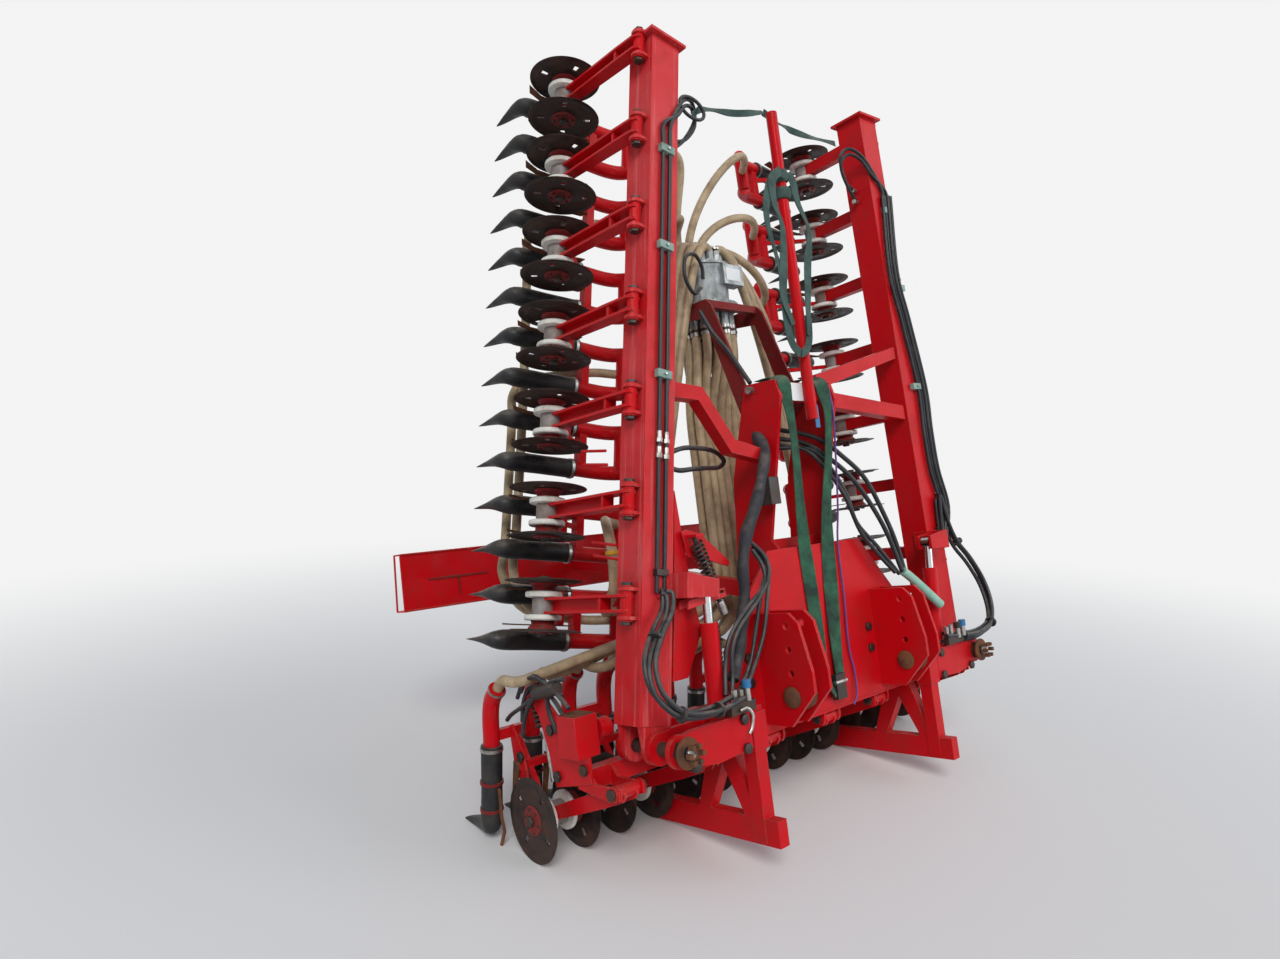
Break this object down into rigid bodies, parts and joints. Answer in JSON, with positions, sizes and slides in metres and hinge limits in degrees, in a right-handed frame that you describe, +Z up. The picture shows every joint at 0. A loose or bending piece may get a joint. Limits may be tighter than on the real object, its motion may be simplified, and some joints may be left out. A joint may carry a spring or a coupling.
{
  "type": "slurry injector",
  "caption": "Three-point mounted disc slurry injector parked on its stands with both boom wings folded up beside a central tower and distributor.",
  "frame": {"origin": "centre of the base of the whole parked machine, on the floor", "axes": "+Z up, -Y towards the towing vehicle, +X to the machine's left-hand side"},
  "size_m": [2.634, 1.9086, 3.3183],
  "materials": {
    "beige_hose": "spiral-reinforced hose",
    "black_rubber": "matt rubber",
    "blade_steel": "rusty sharpened steel",
    "chrome_rod": "polished",
    "disc_steel": "dark rusted steel with worn rims",
    "galvanised": "galvanised, spangled",
    "red_paint": "gloss paint, worn and dusty",
    "zinc_steel": "zinc-plated"
  },
  "bodies": {
    "frame": {"centre_arms": "red_paint", "centre_beam": "red_paint", "centre_blades": "blade_steel", "centre_outlets": "black_rubber", "distributor": "galvanised", "distributor_bracket": "red_paint", "headstock_panel": "red_paint", "hinge_brackets": "red_paint", "hinge_pins": "zinc_steel", "hitch_plates": "red_paint", "hose_post": "red_paint", "outriggers": "red_paint", "rear_board": "red_paint", "rear_board_arms": "red_paint", "slurry_hoses_centre": "beige_hose", "slurry_hoses_left": "beige_hose", "slurry_hoses_right": "beige_hose", "stand_sockets": "red_paint", "tower": "red_paint", "tower_pin": "zinc_steel", "transport_rests": "red_paint"},
    "wing_right": {"wing_right_arms": "red_paint", "wing_right_beam": "red_paint", "wing_right_blades": "blade_steel", "wing_right_outlets": "black_rubber"},
    "wing_left": {"wing_left_arms": "red_paint", "wing_left_beam": "red_paint", "wing_left_blades": "blade_steel", "wing_left_outlets": "black_rubber"},
    "disc_pair_centre_1": {"disc_pair_centre_1": "disc_steel"},
    "disc_pair_centre_2": {"disc_pair_centre_2": "disc_steel"},
    "disc_pair_centre_3": {"disc_pair_centre_3": "disc_steel"},
    "disc_pair_centre_4": {"disc_pair_centre_4": "disc_steel"},
    "disc_pair_centre_5": {"disc_pair_centre_5": "disc_steel"},
    "disc_pair_centre_6": {"disc_pair_centre_6": "disc_steel"},
    "disc_pair_centre_7": {"disc_pair_centre_7": "disc_steel"},
    "disc_pair_left_1": {"disc_pair_left_1": "disc_steel"},
    "disc_pair_left_2": {"disc_pair_left_2": "disc_steel"},
    "disc_pair_left_3": {"disc_pair_left_3": "disc_steel"},
    "disc_pair_left_4": {"disc_pair_left_4": "disc_steel"},
    "disc_pair_left_5": {"disc_pair_left_5": "disc_steel"},
    "disc_pair_left_6": {"disc_pair_left_6": "disc_steel"},
    "disc_pair_left_7": {"disc_pair_left_7": "disc_steel"},
    "disc_pair_right_1": {"disc_pair_right_1": "disc_steel"},
    "disc_pair_right_2": {"disc_pair_right_2": "disc_steel"},
    "disc_pair_right_3": {"disc_pair_right_3": "disc_steel"},
    "disc_pair_right_4": {"disc_pair_right_4": "disc_steel"},
    "disc_pair_right_5": {"disc_pair_right_5": "disc_steel"},
    "disc_pair_right_6": {"disc_pair_right_6": "disc_steel"},
    "disc_pair_right_7": {"disc_pair_right_7": "disc_steel"},
    "fold_barrel_left": {"fold_barrel_left": "red_paint"},
    "fold_barrel_right": {"fold_barrel_right": "red_paint"},
    "fold_rod_left": {"fold_rod_left": "chrome_rod"},
    "fold_rod_right": {"fold_rod_right": "chrome_rod"},
    "parking_stand_left": {"parking_stand_left": "red_paint"},
    "parking_stand_right": {"parking_stand_right": "red_paint"}
  },
  "joints": [
    {"name": "fold_right", "type": "hinge", "parent": "frame", "child": "wing_right", "pos_m": [-1.02, -0.62438, 0.51576], "axis": [0, -0.9786, 0.2057], "range_deg": [0, 100.25], "deforming": ["slurry_hoses_right"]},
    {"name": "fold_barrel_right_turn", "type": "hinge", "parent": "frame", "child": "fold_barrel_right", "pos_m": [-0.77, -0.74738, 0.57227], "axis": [0, -0.9786, 0.2057], "range_deg": [0, 82.55]},
    {"name": "fold_rod_right_slide", "type": "slide", "parent": "fold_barrel_right", "child": "fold_rod_right", "axis": [0.0393, 0.2055, 0.9779], "range_m": [0, 0.3317]},
    {"name": "stand_right_slide", "type": "slide", "parent": "frame", "child": "parking_stand_right", "axis": [0, -0.2057, -0.9786], "range_m": [0, 0.13]},
    {"name": "spin_right_1", "type": "hinge", "parent": "wing_right", "child": "disc_pair_right_1", "pos_m": [-1.07543, -0.05925, 0.92643], "axis": [0.1779, 0.2024, 0.963], "continuous": true},
    {"name": "spin_right_2", "type": "hinge", "parent": "wing_right", "child": "disc_pair_right_2", "pos_m": [-1.00781, 0.01767, 1.29237], "axis": [0.1779, 0.2024, 0.963], "continuous": true},
    {"name": "spin_right_3", "type": "hinge", "parent": "wing_right", "child": "disc_pair_right_3", "pos_m": [-0.94019, 0.09458, 1.65831], "axis": [0.1779, 0.2024, 0.963], "continuous": true},
    {"name": "spin_right_4", "type": "hinge", "parent": "wing_right", "child": "disc_pair_right_4", "pos_m": [-0.87257, 0.1715, 2.02425], "axis": [0.1779, 0.2024, 0.963], "continuous": true},
    {"name": "spin_right_5", "type": "hinge", "parent": "wing_right", "child": "disc_pair_right_5", "pos_m": [-0.80495, 0.24841, 2.39019], "axis": [0.1779, 0.2024, 0.963], "continuous": true},
    {"name": "spin_right_6", "type": "hinge", "parent": "wing_right", "child": "disc_pair_right_6", "pos_m": [-0.73733, 0.32533, 2.75613], "axis": [0.1779, 0.2024, 0.963], "continuous": true},
    {"name": "spin_right_7", "type": "hinge", "parent": "wing_right", "child": "disc_pair_right_7", "pos_m": [-0.66972, 0.40224, 3.12207], "axis": [0.1779, 0.2024, 0.963], "continuous": true},
    {"name": "fold_left", "type": "hinge", "parent": "frame", "child": "wing_left", "pos_m": [1.02, -0.62438, 0.51576], "axis": [0, 0.9786, -0.2057], "range_deg": [0, 91.9], "deforming": ["slurry_hoses_left"]},
    {"name": "fold_barrel_left_turn", "type": "hinge", "parent": "frame", "child": "fold_barrel_left", "pos_m": [0.77, -0.74738, 0.57227], "axis": [0, 0.9786, -0.2057], "range_deg": [0, 73.86]},
    {"name": "fold_rod_left_slide", "type": "slide", "parent": "fold_barrel_left", "child": "fold_rod_left", "axis": [0.112, 0.2044, 0.9725], "range_m": [0, 0.2951]},
    {"name": "stand_left_slide", "type": "slide", "parent": "frame", "child": "parking_stand_left", "axis": [0, -0.2057, -0.9786], "range_m": [0, 0.13]},
    {"name": "spin_left_1", "type": "hinge", "parent": "wing_left", "child": "disc_pair_left_1", "pos_m": [1.15008, -0.06203, 0.91318], "axis": [-0.0332, 0.2056, 0.9781], "continuous": true},
    {"name": "spin_left_2", "type": "hinge", "parent": "wing_left", "child": "disc_pair_left_2", "pos_m": [1.13748, 0.01608, 1.28485], "axis": [-0.0332, 0.2056, 0.9781], "continuous": true},
    {"name": "spin_left_3", "type": "hinge", "parent": "wing_left", "child": "disc_pair_left_3", "pos_m": [1.12488, 0.0942, 1.65652], "axis": [-0.0332, 0.2056, 0.9781], "continuous": true},
    {"name": "spin_left_4", "type": "hinge", "parent": "wing_left", "child": "disc_pair_left_4", "pos_m": [1.11229, 0.17233, 2.02819], "axis": [-0.0332, 0.2056, 0.9781], "continuous": true},
    {"name": "spin_left_5", "type": "hinge", "parent": "wing_left", "child": "disc_pair_left_5", "pos_m": [1.09969, 0.25044, 2.39986], "axis": [-0.0332, 0.2056, 0.9781], "continuous": true},
    {"name": "spin_left_6", "type": "hinge", "parent": "wing_left", "child": "disc_pair_left_6", "pos_m": [1.08709, 0.32856, 2.77153], "axis": [-0.0332, 0.2056, 0.9781], "continuous": true},
    {"name": "spin_left_7", "type": "hinge", "parent": "wing_left", "child": "disc_pair_left_7", "pos_m": [1.07449, 0.40668, 3.1432], "axis": [-0.0332, 0.2056, 0.9781], "continuous": true},
    {"name": "spin_centre_1", "type": "hinge", "parent": "frame", "child": "disc_pair_centre_1", "pos_m": [-1.14, -0.24443, 0.16], "axis": [1, 0, 0], "continuous": true},
    {"name": "spin_centre_2", "type": "hinge", "parent": "frame", "child": "disc_pair_centre_2", "pos_m": [-0.76, -0.24443, 0.16], "axis": [1, 0, 0], "continuous": true},
    {"name": "spin_centre_3", "type": "hinge", "parent": "frame", "child": "disc_pair_centre_3", "pos_m": [-0.38, -0.24443, 0.16], "axis": [1, 0, 0], "continuous": true},
    {"name": "spin_centre_4", "type": "hinge", "parent": "frame", "child": "disc_pair_centre_4", "pos_m": [0, -0.24443, 0.16], "axis": [1, 0, 0], "continuous": true},
    {"name": "spin_centre_5", "type": "hinge", "parent": "frame", "child": "disc_pair_centre_5", "pos_m": [0.38, -0.24443, 0.16], "axis": [1, 0, 0], "continuous": true},
    {"name": "spin_centre_6", "type": "hinge", "parent": "frame", "child": "disc_pair_centre_6", "pos_m": [0.76, -0.24443, 0.16], "axis": [1, 0, 0], "continuous": true},
    {"name": "spin_centre_7", "type": "hinge", "parent": "frame", "child": "disc_pair_centre_7", "pos_m": [1.14, -0.24443, 0.16], "axis": [1, 0, 0], "continuous": true}
  ],
  "couplings": [
    {"joint": "fold_barrel_right_turn", "follows": "fold_right", "ratio": 0.82292},
    {"joint": "fold_rod_right_slide", "follows": "fold_right", "m_per_rad": 0.18927},
    {"joint": "fold_barrel_left_turn", "follows": "fold_left", "ratio": 0.80318},
    {"joint": "fold_rod_left_slide", "follows": "fold_left", "m_per_rad": 0.18369}
  ]
}
